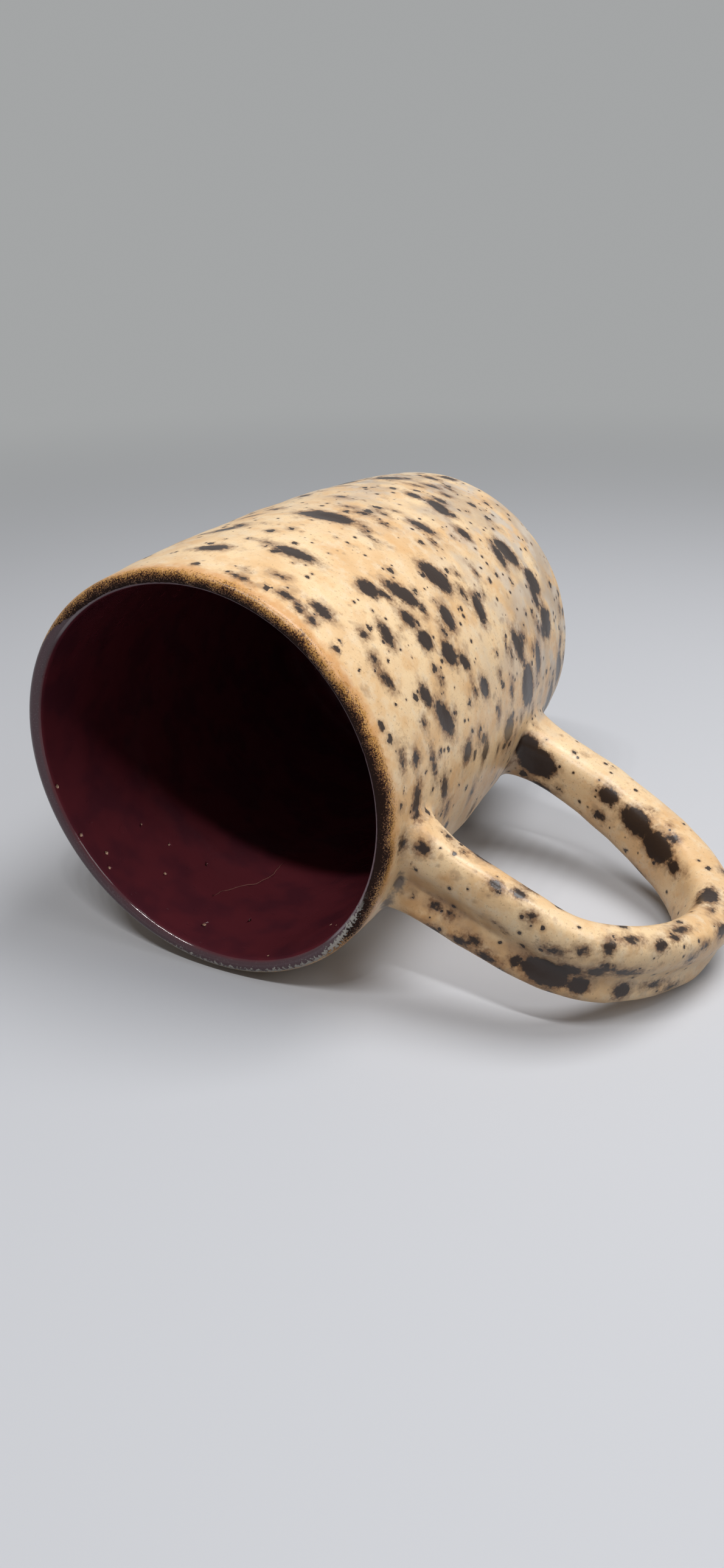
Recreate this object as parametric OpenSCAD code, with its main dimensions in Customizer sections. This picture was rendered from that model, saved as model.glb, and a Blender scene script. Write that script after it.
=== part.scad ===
// Hand-thrown stoneware mug, laid on its side with the mouth towards -Y and the handle towards +X.
// The cup and the pulled strap handle were fired as one piece, so they are one solid.
// mug_upright() builds it standing on its foot; laid_down() rolls it onto its wall and handle.
// The origin is on the ground, under the middle of the laid mug's box.

/* [Cup] */
// Height from foot to lip
cup_h = 105; // [84:0.5:130]
// Outside diameter at the lip
rim_d = 78; // [62:0.5:98]
// How far the widest ring stands out beyond the lip, on the radius
belly_bulge = 1.5; // [0.6:0.1:3]
// How far the base is drawn in from the widest ring, on the radius
base_taper = 3.5; // [0.6:0.1:6]
// Height of the widest ring above the foot
belly_h = 46; // [38:0.5:56]
// Thickness of the rounded lip
lip_t = 3; // [2:0.1:4]
// Thickness of the wall at the widest ring
wall_t = 3.6; // [2.6:0.1:5]
// Thickness of the floor inside the foot ring
floor_t = 5.5; // [4:0.1:8]
// Radius of the heel, where the wall turns into the base
heel_r = 6; // [3:0.5:9]
// Radius inside the cup, where the wall turns into the floor
bowl_r = 11; // [6:0.5:16]

/* [Foot] */
// Outside diameter of the trimmed recess under the base
recess_d = 50; // [40:0.5:54]
// Depth of that recess
recess_t = 1.5; // [0.8:0.1:2.5]

/* [Handle] */
// Depth of the upper joint's middle below the lip
joint_drop = 10.7; // [9:0.5:16]
// Angle at which the strap leaves the wall, upwards
leg_rise = 5.4; // [-5:1:10]
// Radius of the upper leg's slow bend
leg_r = 224; // [180:1:280]
// Angle of that bend
leg_a = 6.6; // [5:0.2:8]
// Radius of the shoulder bend
shoulder_r = 22.7; // [18:0.5:28]
// Angle of the shoulder bend
shoulder_a = 44.5; // [36:0.5:54]
// Radius of the crown, the long outer bend
crown_r = 41.8; // [34:0.5:51]
// Angle of the crown
crown_a = 34.2; // [28:0.5:41]
// Radius of the elbow bend
elbow_r = 23.2; // [18:0.5:28]
// Angle of the elbow bend
elbow_a = 64.1; // [54:0.5:72]
// Radius of the slow bend that brings the strap back to the wall
tail_r = 72.4; // [60:0.5:88]
// Angle of that bend
tail_a = 36.8; // [26:0.5:40]
// Reach of the strap from its middle line to its upper edge: upper leg, crown, elbow, lower leg
strap_up = [10.4, 9.2, 6.4, 5.2]; // [4:0.1:13]
// Reach to its lower edge at the same four places
strap_down = [6.6, 5.8, 7, 6.6]; // [4:0.1:9]
// Reach to its outer face
strap_out = [3.9, 3.6, 5.1, 5.4]; // [3:0.1:7]
// Reach to its inner face
strap_in = [4.8, 4.8, 5.3, 5.4]; // [3:0.1:7]
// How full the strap's section is: 2 is an oval, more is nearer a rounded bar
strap_full = 3.2; // [2:0.1:4]
// Depth of the thumb groove where it is deepest, along the upper leg
groove_t = 2.3; // [0.5:0.1:2.8]
// Width of the thumb groove
groove_w = 6.6; // [4:0.1:8]
// How much the strap flares all round where it is smoothed onto the wall
flare = 1.8; // [0.5:0.1:4]
// Length over which the flare dies away
flare_len = 3.2; // [2:0.1:7]

/* [Damage] */
// Width of the hairline crack inside the wall
crack_w = 0.3; // [0.2:0.05:0.6]
// Depth of the crack into the wall
crack_t = 0.6; // [0.3:0.1:1]
// Radius of the small chip on the inside of the lip
chip_r = 0.8; // [0.4:0.1:1.5]
// Angle of the chip round the lip from the handle
chip_a = 41; // [20:1:80]

/* [Hidden] */
$fn = 180;
clay = [0.80, 0.63, 0.44];

// Corners of the crack on the inside wall: angle from the handle, depth below the lip
crack_path = [[-84, 16.5], [-83, 20], [-80.5, 23.5], [-79, 25.5], [-76.8, 27], [-75.6, 31.5], [-76.2, 37]];

belly_r = rim_d / 2 + belly_bulge;

// Rounded corners run this far past the faces they blend into, so that the curves cross cleanly
bead = 0.01;

// Radius of the circle that is upright at the widest ring and comes in by `sag` over `rise`
function bow(sag, rise) = (sag * sag + rise * rise) / (2 * sag);
// Radius of the wall's surface at a height, from the widest ring `widest` and the bow `big`
function bowed_r(widest, big, z) = widest - big + sqrt(big * big - pow(z - belly_h, 2));
// Middle of a corner's circle of radius r at a height, just past touching that surface from inside
function corner_x(widest, big, r, z) = widest - big + sqrt(pow(big - r + bead, 2) - pow(z - belly_h, 2));
// Height at which the circle touches the surface
function touch_z(x, z, r, big, widest) = z + r * (z - belly_h) / norm([x - (widest - big), z - belly_h]);

lip_r = lip_t / 2;
lip_z = cup_h - lip_r;
out_up_r = bow(belly_bulge, cup_h - belly_h);
out_low_r = bow(base_taper, belly_h);
lip_x = bowed_r(belly_r, out_up_r, lip_z) - lip_r + bead;

cavity_r = belly_r - wall_t;
in_up_r = bow(cavity_r - (lip_x - lip_r + bead), lip_z - belly_h);
in_low_r = out_low_r - wall_t;

heel_x = corner_x(belly_r, out_low_r, heel_r, heel_r);
bowl_z = floor_t + bowl_r;
bowl_x = corner_x(cavity_r, in_low_r, bowl_r, bowl_z);

function out_r(z) = bowed_r(belly_r, z > belly_h ? out_up_r : out_low_r, z);
function in_r(z) = bowed_r(cavity_r, z > belly_h ? in_up_r : in_low_r, z);

// The strap's middle line in the handle's plane: places are [x, z, heading], heading up from +X
bends = [
    [leg_r, leg_a], [shoulder_r, shoulder_a], [crown_r, crown_a], [elbow_r, elbow_a], [tail_r, tail_a]
];
joint_z = cup_h - joint_drop;
root = [out_r(joint_z), joint_z, leg_rise];
root_deep = 0.6 * wall_t;

function straight(at, length) = [at.x + length * cos(at.z), at.y + length * sin(at.z), at.z];
function turned(at, r, a) = let(x = at.x + r * sin(at.z), y = at.y - r * cos(at.z), h = at.z - a)
    [x - r * sin(h), y + r * cos(h), h];
function bend_len(n) = bends[n][0] * bends[n][1] * PI / 180;

// Place at a distance along the line, from the start of bend n; after the last bend it runs straight
function place(length, at = root, n = 0) =
    length < 0 || n == len(bends) ? straight(at, length)
    : length <= bend_len(n) ? turned(at, bends[n][0], length / bends[n][0] * 180 / PI)
    : place(length - bend_len(n), turned(at, bends[n][0], bends[n][1]), n + 1);

// Length of the line until it meets the wall again
strap_len = min([for (s = [60 : 0.25 : 260]) if (place(s).x < out_r(place(s).y)) s]);

// Value from four numbers spread over the strap, eased from each to the next
function spread(list, u) = let(v = min(max(u, 0), 1) * 3, n = min(floor(v), 2), f = v - n)
    list[n] + (list[n + 1] - list[n]) * f * f * (3 - 2 * f);
function flared(s) = flare * (exp(-max(s, 0) / flare_len) + exp(-max(strap_len - s, 0) / flare_len));
function reach_to(list, s) = spread(list, s / strap_len) + flared(s);
// The groove is deepest on the upper leg and has gone by the elbow
function groove(s) = groove_t * spread([1, 0.45, 0, 0], s / strap_len);

// One point of the strap's section, as [out from the middle line, down across it], at an angle round it
function rounded(v) = sign(v) * pow(abs(v), 2 / strap_full);
function section_point(s, a) = let(
        y = reach_to(sin(a) > 0 ? strap_down : strap_up, s) * rounded(sin(a)),
        x = reach_to(cos(a) > 0 ? strap_out : strap_in, s) * rounded(cos(a)))
    [x - (cos(a) > 0 ? groove(s) * exp(-pow(2 * y / groove_w, 2)) : 0), y];

// Angle whose section point lies in direction t, so that the points are spread evenly over the faces
function evened(t) = atan2(sign(sin(t)) * pow(abs(sin(t)), strap_full / 2),
    sign(cos(t)) * pow(abs(cos(t)), strap_full / 2));

section_n = 32;
station_n = 66;
strap_points = [
    for (n = [0 : station_n]) let(s = -root_deep + (strap_len + 2 * root_deep) * n / station_n, at = place(s))
        for (k = [0 : section_n - 1]) let(p = section_point(s, evened(k * 360 / section_n)))
            [at.x - p.x * sin(at.z), -p.y, at.y + p.x * cos(at.z)]
];

// Roll that lowers the handle until the lowest point of the strap is level with the wall's underside
function lowest(roll) = min([for (p = strap_points) -p.x * sin(roll) + p.y * cos(roll)]);
function level(low, high, tries) = let(mid = (low + high) / 2)
    tries == 0 ? mid : lowest(mid) > -belly_r ? level(mid, high, tries - 1) : level(low, mid, tries - 1);
roll = level(0, 60, 24);
reach = max([for (p = strap_points) p.x * cos(roll) + p.y * sin(roll)]);
middle_x = (reach - belly_r) / 2;

// Area inside the circle of radius `big` that is upright at the widest ring, between two heights
module bowed(big, widest, low, high) {
    intersection() {
        translate([0, low]) square([widest, high - low]);
        translate([widest - big, belly_h]) circle(r = big, $fn = 720);
    }
}

module outside_half() {
    bowed(out_up_r, belly_r, belly_h, lip_z);
    bowed(out_low_r, belly_r, touch_z(heel_x, heel_r, heel_r, out_low_r, belly_r), belly_h);
    translate([heel_x, heel_r]) circle(r = heel_r);
    square([heel_x, 2 * heel_r]);
}

module inside_half() {
    bowed(in_up_r, cavity_r, belly_h, cup_h);
    bowed(in_low_r, cavity_r, touch_z(bowl_x, bowl_z, bowl_r, in_low_r, cavity_r), belly_h);
    translate([bowl_x, bowl_z]) circle(r = bowl_r);
    translate([0, floor_t]) square([bowl_x, 2 * bowl_r]);
}

module cup() {
    rotate_extrude() {
        difference() {
            outside_half();
            inside_half();
            square([recess_d / 2, recess_t]);
        }
        translate([lip_x, lip_z]) circle(r = lip_r);
    }
}

// The strap's two ends stop inside the thickness of the wall
module handle() {
    last = station_n * section_n;
    sides = [
        for (n = [0 : station_n - 1], k = [0 : section_n - 1])
            let(a = n * section_n + k, b = n * section_n + (k + 1) % section_n)
                for (face = [[a, a + section_n, b], [b, a + section_n, b + section_n]]) face
    ];
    first_cap = [for (k = [0 : section_n - 1]) k];
    last_cap = [for (k = [section_n - 1 : -1 : 0]) last + k];
    polyhedron(points = strap_points, faces = concat(sides, [first_cap, last_cap]));
}

// One straight stretch of the crack between two corners of its path
module crack_stretch(from, to) {
    angle = (from.x + to.x) / 2;
    z = cup_h - (from.y + to.y) / 2;
    across = in_r(z) * (to.x - from.x) * PI / 180;
    along = from.y - to.y;
    rotate([0, 0, angle]) translate([in_r(z), 0, z]) rotate([-atan2(across, along), 0, 0])
        cube([2 * crack_t, crack_w, norm([across, along]) + crack_w], center = true);
}

module crack() {
    for (n = [1 : len(crack_path) - 1]) crack_stretch(crack_path[n - 1], crack_path[n]);
}

module chip() {
    rotate([0, 0, chip_a]) translate([lip_x - lip_r, 0, cup_h - lip_r / 2]) sphere(r = chip_r, $fn = 48);
}

module mug_upright() {
    difference() {
        union() {
            cup();
            handle();
        }
        crack();
        chip();
    }
}

module laid_down() {
    translate([-middle_x, cup_h / 2, belly_r]) rotate([0, roll, 0]) rotate([90, 0, 0]) children();
}

module mug() {
    color(clay) laid_down() mug_upright();
}

mug();
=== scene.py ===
import math
import random

import bmesh
import bpy
import numpy as np
from mathutils import Euler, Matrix, Vector, kdtree, noise


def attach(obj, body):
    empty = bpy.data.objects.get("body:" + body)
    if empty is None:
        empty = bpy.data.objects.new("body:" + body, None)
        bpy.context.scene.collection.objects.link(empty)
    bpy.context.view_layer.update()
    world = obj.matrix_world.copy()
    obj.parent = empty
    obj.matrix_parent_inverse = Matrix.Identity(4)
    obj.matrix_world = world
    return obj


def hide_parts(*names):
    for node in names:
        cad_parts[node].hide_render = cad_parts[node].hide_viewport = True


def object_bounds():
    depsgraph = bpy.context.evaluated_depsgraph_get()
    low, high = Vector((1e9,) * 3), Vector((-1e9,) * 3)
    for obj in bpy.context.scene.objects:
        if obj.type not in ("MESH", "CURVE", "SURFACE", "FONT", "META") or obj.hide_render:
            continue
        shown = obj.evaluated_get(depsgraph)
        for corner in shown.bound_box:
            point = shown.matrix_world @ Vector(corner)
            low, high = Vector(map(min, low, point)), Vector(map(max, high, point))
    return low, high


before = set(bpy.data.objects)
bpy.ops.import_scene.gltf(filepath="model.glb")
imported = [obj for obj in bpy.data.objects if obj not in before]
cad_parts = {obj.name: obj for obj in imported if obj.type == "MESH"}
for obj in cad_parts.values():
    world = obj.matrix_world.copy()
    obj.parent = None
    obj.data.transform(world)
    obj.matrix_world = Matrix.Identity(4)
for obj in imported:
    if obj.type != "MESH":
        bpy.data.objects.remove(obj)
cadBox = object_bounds()
print("frame loaded")

# The mug's lengths are in millimetres and it stands on its foot while it is thrown and joined;
# layDown() then puts it where the frame has it. The camera, the floor and the lamps are in metres.
# "around" is the angle from the handle, growing towards the upper side of the laid mug, and "depth"
# is measured down from the lip.

camera = {
    "place": (0.08788, -0.2107, 0.13288),
    "turn": (64.28, 0.95, 26.36),
    "lens": 58.54,
}
camData = bpy.data.cameras.new("camera")
camData.sensor_fit = "HORIZONTAL"
camData.sensor_width = 36
camData.lens = camera["lens"]
camData.clip_start = 0.01
camObject = bpy.data.objects.new("camera", camData)
camObject.location = camera["place"]
camObject.rotation_euler = Euler([math.radians(a) for a in camera["turn"]])
bpy.context.scene.collection.objects.link(camObject)
bpy.context.scene.camera = camObject


# the thrown cup

cup = {
    "height": 105.0,
    "lipRadius": 39.0,
    "spread": 0.0734,      # how fast the wall opens below the lip
    "curve": 0.000874,     # how fast it closes again
    "lipWidth": 3.0,
    "wall": 3.6,
    "floor": 5.5,
    "heelRound": 6.0,
    "bowlRound": 11.0,
    "recess": 25.0,
    "recessDepth": 1.5,
    "recessRound": 0.7,
    "hub": 2.5,            # radius at which the rows end and a fan closes the middle
    "widest": 40.5,        # radius of the belly
    "columns": 300,
    "oval": (0.73, 135.5),  # size and direction of the lip's pull out of round
    "threeWay": (0.18, 72.0),
    "trueBy": 50.0,         # depth at which the wall is round again
    "throwLines": 0.07,
    "linePitch": 6.4,
    "crestShare": 0.62,     # share of the profile's points that come before the crest of the lip
    "lumps": 0.16,
}


def ease(value, low, high):
    t = np.clip((np.asarray(value, float) - low) / (high - low), 0, 1)
    return t * t * (3 - 2 * t)


def outerRadius(depth):
    return cup["lipRadius"] + cup["spread"] * depth - cup["curve"] * depth ** 2


def wallThickness(depth):
    return cup["lipWidth"] + (cup["wall"] - cup["lipWidth"]) * ease(depth, 2, 30)


def outOfRound(around, depth):
    size, way = cup["oval"]
    size3, way3 = cup["threeWay"]
    pull = size * np.cos(2 * (around - math.radians(way)))
    pull = pull + size3 * np.cos(3 * (around - math.radians(way3)))
    return pull * np.clip(1 - depth / cup["trueBy"], 0, 1)


def softNoise(points, size, seed):
    # smooth noise at a feature size, about -1 to 1
    shift = Vector((seed * 17.3, seed * 5.1, -seed * 9.7))
    return np.array([noise.noise(Vector(p) / size + shift) for p in points]) * 1.6


def cupProfile():
    # (radius, depth) from the middle of the base, up the outside, over the lip and down inside
    high, heel, bowl = cup["height"], cup["heelRound"], cup["bowlRound"]
    lip, edge, hub = cup["lipWidth"] / 2, cup["recessRound"], cup["hub"]
    line = []
    for r in np.linspace(hub, cup["recess"] - 1.2, 8):
        line.append((r, high - cup["recessDepth"]))
    for k in range(5):
        a = k / 4 * math.pi / 2
        edgeDepth = high - cup["recessDepth"] + edge * (1 - math.cos(a))
        line.append((cup["recess"] - edge + edge * math.sin(a), edgeDepth))
    line.append((cup["recess"] + 0.05, high - 0.4))
    line.append((cup["recess"] + 0.3, high - 0.1))
    slope = math.atan(2 * cup["curve"] * (high - heel) - cup["spread"])
    wallFoot = high - heel + heel * math.sin(slope)
    heelX = outerRadius(wallFoot) - heel * math.cos(slope)
    for r in np.linspace(cup["recess"] + 0.8, heelX, 6):
        line.append((r, high))
    for k in range(1, 12):
        a = math.pi / 2 + (slope - math.pi / 2) * k / 11
        line.append((heelX + heel * math.cos(a), high - heel + heel * math.sin(a)))
    for d in np.arange(wallFoot - 0.85, 7.0, -0.86):
        line.append((outerRadius(d), d))
    for d in np.arange(6.6, lip + 0.3, -0.5):
        line.append((outerRadius(d), d))
    lipX = outerRadius(lip) - lip
    for k in range(15):
        a = math.pi * k / 14
        line.append((lipX + lip * math.cos(a), lip - lip * math.sin(a)))
    for d in np.arange(lip + 0.5, 6.0, 0.6):
        line.append((outerRadius(d) - wallThickness(d), d))
    floorDepth = high - cup["floor"]
    inside = outerRadius(floorDepth - bowl) - cup["wall"]
    for d in np.arange(6.4, floorDepth - bowl, 1.5):
        line.append((outerRadius(d) - wallThickness(d), d))
    for k in range(14):
        a = math.pi / 2 * k / 13
        line.append((inside - bowl + bowl * math.cos(a), floorDepth - bowl + bowl * math.sin(a)))
    for r in np.linspace(inside - bowl - 1.5, hub, 12):
        line.append((r, floorDepth))
    return np.array(line)


def standing(radius, angle, depth):
    place = np.stack([radius * np.cos(angle), radius * np.sin(angle), cup["height"] - depth], -1)
    return place.reshape(-1, 3)


def makeCup():
    line = cupProfile()
    rows, columns = len(line), cup["columns"]
    step = np.gradient(line, axis=0)
    step /= np.linalg.norm(step, axis=1)[:, None]
    outwards = np.stack([-step[:, 1], step[:, 0]], 1)     # the profile runs with the clay on its left
    around = np.arange(columns) / columns * 2 * math.pi
    radius = line[:, 0][:, None] + 0 * around
    depth = line[:, 1][:, None] + 0 * around
    angle = np.zeros((rows, 1)) + around
    middle = ease(radius, 4, 20)
    radius = radius + outOfRound(angle, depth) * middle
    smooth = standing(radius, angle, depth)
    spiral = depth / cup["linePitch"] + angle / (2 * math.pi)
    lines = np.sin(2 * math.pi * spiral) * 0.6 + np.sin(2 * math.pi * spiral * 0.37 + 1) * 0.6
    inner = np.arange(rows)[:, None] > rows * cup["crestShare"]
    lines = lines * ease(depth, 4, 14) * np.where(inner, 0.7, 1.0) * cup["throwLines"]
    lumps = softNoise(smooth, 13, 1) * cup["lumps"] + softNoise(smooth, 4.5, 2) * 0.05
    lift = (lines + lumps.reshape(rows, columns) * ease(depth, 1, 12)) * middle
    lift = lift * np.where(depth > cup["height"] - 0.6, 0, 1)
    radius = radius + lift * outwards[:, 0][:, None]
    depth = depth + lift * outwards[:, 1][:, None]
    points = standing(radius, angle, depth)
    faces = []
    for i in range(rows - 1):
        for j in range(columns):
            k = (j + 1) % columns
            faces.append((i * columns + j, i * columns + k, (i + 1) * columns + k, (i + 1) * columns + j))
    first, last = len(points), len(points) + 1
    ends = [(0, 0, cup["recessDepth"]), (0, 0, cup["floor"])]
    points = np.vstack([points, ends])
    top = (rows - 1) * columns
    for j in range(columns):
        k = (j + 1) % columns
        faces.append((first, k, j))
        faces.append((last, top + j, top + k))
    return points, faces


# the pulled handle

handle = {
    "joint": (38.6, 10.7, 5.4),   # radius, depth and rise where it leaves the wall
    "bends": [(224.0, 6.6), (22.7, 44.5), (41.8, 34.2), (23.2, 64.1), (72.4, 36.8)],
    "up": [10.4, 9.2, 6.4, 5.2],      # reach of the strap from its middle line, at four places along it
    "down": [6.6, 5.8, 7.0, 6.6],
    "outer": [3.9, 3.6, 5.1, 5.4],
    "inner": [4.8, 4.8, 5.3, 5.4],
    "full": 3.2,
    "grooveDepth": [3.0, 1.5, 0.0, 0.0],
    "grooveWidth": 3.1,
    "grooveAt": -0.3,
    "flare": 1.7,
    "flareLength": 3.2,
    "ring": 60,
    "sunk": 2.2,           # how far both ends reach into the wall
    "searchFrom": 60.0,    # length from which the way back to the wall is looked for
    "searchStep": 0.25,
    "lumps": 0.22,
}


def along(length, place, bend=0):
    # [x, z, heading] at a length along the strap's middle line
    x, z, heading = place
    bends = handle["bends"]
    if length < 0 or bend == len(bends):
        return [x + length * math.cos(heading), z + length * math.sin(heading), heading]
    radius, sweep = bends[bend][0], math.radians(bends[bend][1])
    turn = min(length / radius, sweep)
    cx, cz = x + radius * math.sin(heading), z - radius * math.cos(heading)
    spot = [cx - radius * math.sin(heading - turn), cz + radius * math.cos(heading - turn), heading - turn]
    if length <= radius * sweep:
        return spot
    return along(length - radius * sweep, spot, bend + 1)


def strapRoot():
    radius, depth, rise = handle["joint"]
    return [radius, cup["height"] - depth, math.radians(rise)]


def strapLength():
    length = handle["searchFrom"]
    while True:
        x, z, heading = along(length, strapRoot())
        if x < outerRadius(cup["height"] - z):
            return length
        length += handle["searchStep"]


def eased(values, u):
    v = np.clip(u, 0, 1) * (len(values) - 1)
    n = np.minimum(np.floor(v), len(values) - 2).astype(int)
    f = v - n
    values = np.array(values)
    return values[n] + (values[n + 1] - values[n]) * f * f * (3 - 2 * f)


def strapFrame(length):
    # middle point, direction along the strap and direction out of its outer face
    x, z, heading = along(length, strapRoot())
    return (np.array([x, 0, z]), np.array([math.cos(heading), 0, math.sin(heading)]),
            np.array([-math.sin(heading), 0, math.cos(heading)]))


def strapPoint(length, a, total):
    # a point on the strap's surface; a is the angle round its section, 0 outwards and 90 upwards
    u = length / total
    grow = handle["flare"] * (math.exp(-max(length, 0) / handle["flareLength"])
                              + math.exp(-max(total - length, 0) / handle["flareLength"]))
    power = 2 / handle["full"]
    outReach = float(eased(handle["outer" if math.cos(a) > 0 else "inner"], u)) + grow
    sideReach = float(eased(handle["up" if math.sin(a) > 0 else "down"], u)) + grow
    out = outReach * math.copysign(abs(math.cos(a)) ** power, math.cos(a))
    side = sideReach * math.copysign(abs(math.sin(a)) ** power, math.sin(a))
    if out > 0:
        dip = math.exp(-((side - handle["grooveAt"]) / handle["grooveWidth"]) ** 2)
        out -= float(eased(handle["grooveDepth"], u)) * dip * min(1, out / (outReach * 0.6))
    middle, forward, outwards = strapFrame(length)
    return middle + outwards * out + np.array([0, side, 0])


def evened(t):
    # the angle whose point on the section lies in direction t, which spreads the points evenly
    p = handle["full"] / 2
    return math.atan2(math.copysign(abs(math.sin(t)) ** p, math.sin(t)),
                      math.copysign(abs(math.cos(t)) ** p, math.cos(t)))


def makeHandle():
    total, sunk = strapLength(), handle["sunk"]
    stations = int(total + 2 * sunk)
    ring = handle["ring"]
    points = []
    for n in range(stations + 1):
        length = -sunk + (total + 2 * sunk) * n / stations
        for k in range(ring):
            points.append(strapPoint(length, evened(2 * math.pi * k / ring), total))
    points = np.array(points)
    middle = points.reshape(stations + 1, ring, 3).mean(1).repeat(ring, 0)
    away = points - middle
    away /= np.linalg.norm(away, axis=1)[:, None]
    lumps = softNoise(points, 9, 3) * handle["lumps"] + softNoise(points, 3.5, 4) * 0.05
    points = points + away * lumps[:, None]
    faces = []
    for n in range(stations):
        for k in range(ring):
            m = (k + 1) % ring
            faces.append((n * ring + k, n * ring + m, (n + 1) * ring + m, (n + 1) * ring + k))
    faces.append(tuple(range(ring - 1, -1, -1)))
    faces.append(tuple(stations * ring + k for k in range(ring)))
    return points, faces


# damage: crack, chip and glaze pinholes

damage = {
    "crack": [(-84.2, 16.6), (-83.6, 19), (-82, 20.8), (-80.6, 23.2), (-79.4, 25), (-77, 26.6),
              (-76.2, 29.4), (-75.4, 31.5), (-75.9, 34), (-76.3, 37.5)],
    "crackWidth": 0.22,
    "crackDeep": 0.5,
    "crackStep": 0.8,
    "sway": (0.22, 0.1),        # how far its steps stray in angle and in depth
    "uneven": (0.7, 1.25),      # least and most of its width
    "degreeSize": 0.63,         # one degree's length round the inside of the wall
    "chip": (41.0, 0.9),
    "pinholes": [(-145, 1.6, 0.42), (-127.5, 1.8, 0.4), (-118, 5, 0.42), (-113.5, 3, 0.35),
                 (-101, 13.5, 0.32), (-94.5, 23.5, 0.25), (-78.5, 7.5, 0.42), (-35, 11.5, 0.3),
                 (-68, 14, 0.22), (-119, 18, 0.22), (-108, 20.5, 0.22), (-50, 2.2, 0.3), (-30, 9, 0.25)],
}


def innerPoint(around, depth, inset=0.0):
    a = math.radians(around)
    r = outerRadius(depth) - float(wallThickness(depth)) + float(outOfRound(a, depth)) + inset
    return Vector((r * math.cos(a), r * math.sin(a), cup["height"] - depth))


def makeCrack():
    # a thin wedge whose sharp edge runs into the wall
    rnd = random.Random(7)
    corners, degree = damage["crack"], damage["degreeSize"]
    angleSway, depthSway = damage["sway"]
    steps = []
    for (a0, d0), (a1, d1) in zip(corners, corners[1:]):
        parts = max(2, int(math.hypot((a1 - a0) * degree, d1 - d0) / damage["crackStep"]))
        for k in range(parts):
            t = k / parts
            angle = a0 + (a1 - a0) * t + rnd.uniform(-angleSway, angleSway)
            depth = d0 + (d1 - d0) * t + rnd.uniform(-depthSway, depthSway)
            steps.append((angle, depth))
    steps.append(corners[-1])
    points, faces = [], []
    count = len(steps)
    for n, (a, d) in enumerate(steps):
        before, after = steps[max(n - 1, 0)], steps[min(n + 1, count - 1)]
        way = Vector(((after[0] - before[0]) * degree, after[1] - before[1])).normalized()
        fade = math.sin(math.pi * (n + 0.6) / (count + 0.2)) ** 0.5
        half = damage["crackWidth"] / 2 * fade * rnd.uniform(*damage["uneven"])
        for side, inset in ((-3, -1.0), (3, -1.0), (0, damage["crackDeep"] * fade)):
            points.append(innerPoint(a + side * half * -way.y / degree, d + side * half * way.x, inset))
    for n in range(count - 1):
        b = 3 * n
        for i, j in ((0, 1), (1, 2), (2, 0)):
            faces.append((b + i, b + j, b + 3 + j, b + 3 + i))
    faces.append((2, 1, 0))
    faces.append((3 * count - 3, 3 * count - 2, 3 * count - 1))
    return np.array(points), faces


def makeBall(centre, size, seed):
    ball = bmesh.new()
    bmesh.ops.create_icosphere(ball, subdivisions=2, radius=1)
    points = np.array([v.co[:] for v in ball.verts])
    faces = [tuple(v.index for v in f.verts) for f in ball.faces]
    ball.free()
    rough = 1 + 0.25 * softNoise(points * 3, 2.0, seed)
    return points * np.array(size) * rough[:, None] + np.array(centre), faces


def makePits():
    around, size = damage["chip"]
    a = math.radians(around)
    r = outerRadius(1.5) - cup["lipWidth"] + float(outOfRound(a, 0)) + 0.25
    chipPlace = (r * math.cos(a), r * math.sin(a), cup["height"] - 1.0)
    pieces = [makeBall(chipPlace, (size, size * 0.7, size * 0.8), 11)]
    for n, (around, depth, size) in enumerate(damage["pinholes"]):
        pieces.append(makeBall(innerPoint(around, depth, 0.1), (size, size, size), 20 + n))
    return pieces


def newObject(name, points, faces, material):
    mesh = bpy.data.meshes.new(name)
    mesh.from_pydata([tuple(p) for p in points], [], faces)
    mesh.materials.append(material)
    mesh.validate()
    work = bmesh.new()
    work.from_mesh(mesh)
    bmesh.ops.recalc_face_normals(work, faces=work.faces)
    work.to_mesh(mesh)
    work.free()
    made = bpy.data.objects.new(name, mesh)
    bpy.context.scene.collection.objects.link(made)
    return made


def combine(target, tool, operation):
    step = target.modifiers.new("join", "BOOLEAN")
    step.operation = operation
    step.solver = "EXACT"
    step.material_mode = "TRANSFER"
    step.object = tool
    bpy.context.view_layer.update()
    shown = target.evaluated_get(bpy.context.evaluated_depsgraph_get())
    result = bpy.data.meshes.new_from_object(shown)
    target.modifiers.remove(step)
    old = target.data
    target.data = result
    bpy.data.meshes.remove(old)
    bpy.data.objects.remove(tool)


glaze = bpy.data.materials.new("stonewareGlaze")
brokenClay = bpy.data.materials.new("brokenClay")
splitGlaze = bpy.data.materials.new("splitGlaze")
strapClay = bpy.data.materials.new("strapClay")      # only marks where the strap's faces begin

mug = newObject("mugBody", *makeCup(), glaze)
strap = newObject("mugStrap", *makeHandle(), strapClay)
combine(mug, strap, "UNION")
print("handle joined:", len(mug.data.polygons), "faces")


def smoothJoint(mesh, reach=4, rounds=14, pull=0.55):
    # the clay is worked together where the strap meets the wall
    work = bmesh.new()
    work.from_mesh(mesh)
    seam = set()
    for edge in work.edges:
        kinds = {f.material_index for f in edge.link_faces}
        if len(kinds) > 1:
            seam.update(edge.verts)
    level = {v: 0 for v in seam}
    front = set(seam)
    for n in range(1, reach + 1):
        front = {e.other_vert(v) for v in front for e in v.link_edges} - set(level)
        for v in front:
            level[v] = n
    for n in range(rounds):
        moved = {}
        for v, far in level.items():
            near = [e.other_vert(v).co for e in v.link_edges]
            mean = sum(near, Vector()) / len(near)
            moved[v] = v.co.lerp(mean, pull * (1 - far / (reach + 1)))
        for v, place in moved.items():
            v.co = place
    seamPoints = [v.co.copy() for v in seam]
    for face in work.faces:
        face.material_index = 0
    work.to_mesh(mesh)
    work.free()
    return seamPoints


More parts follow.
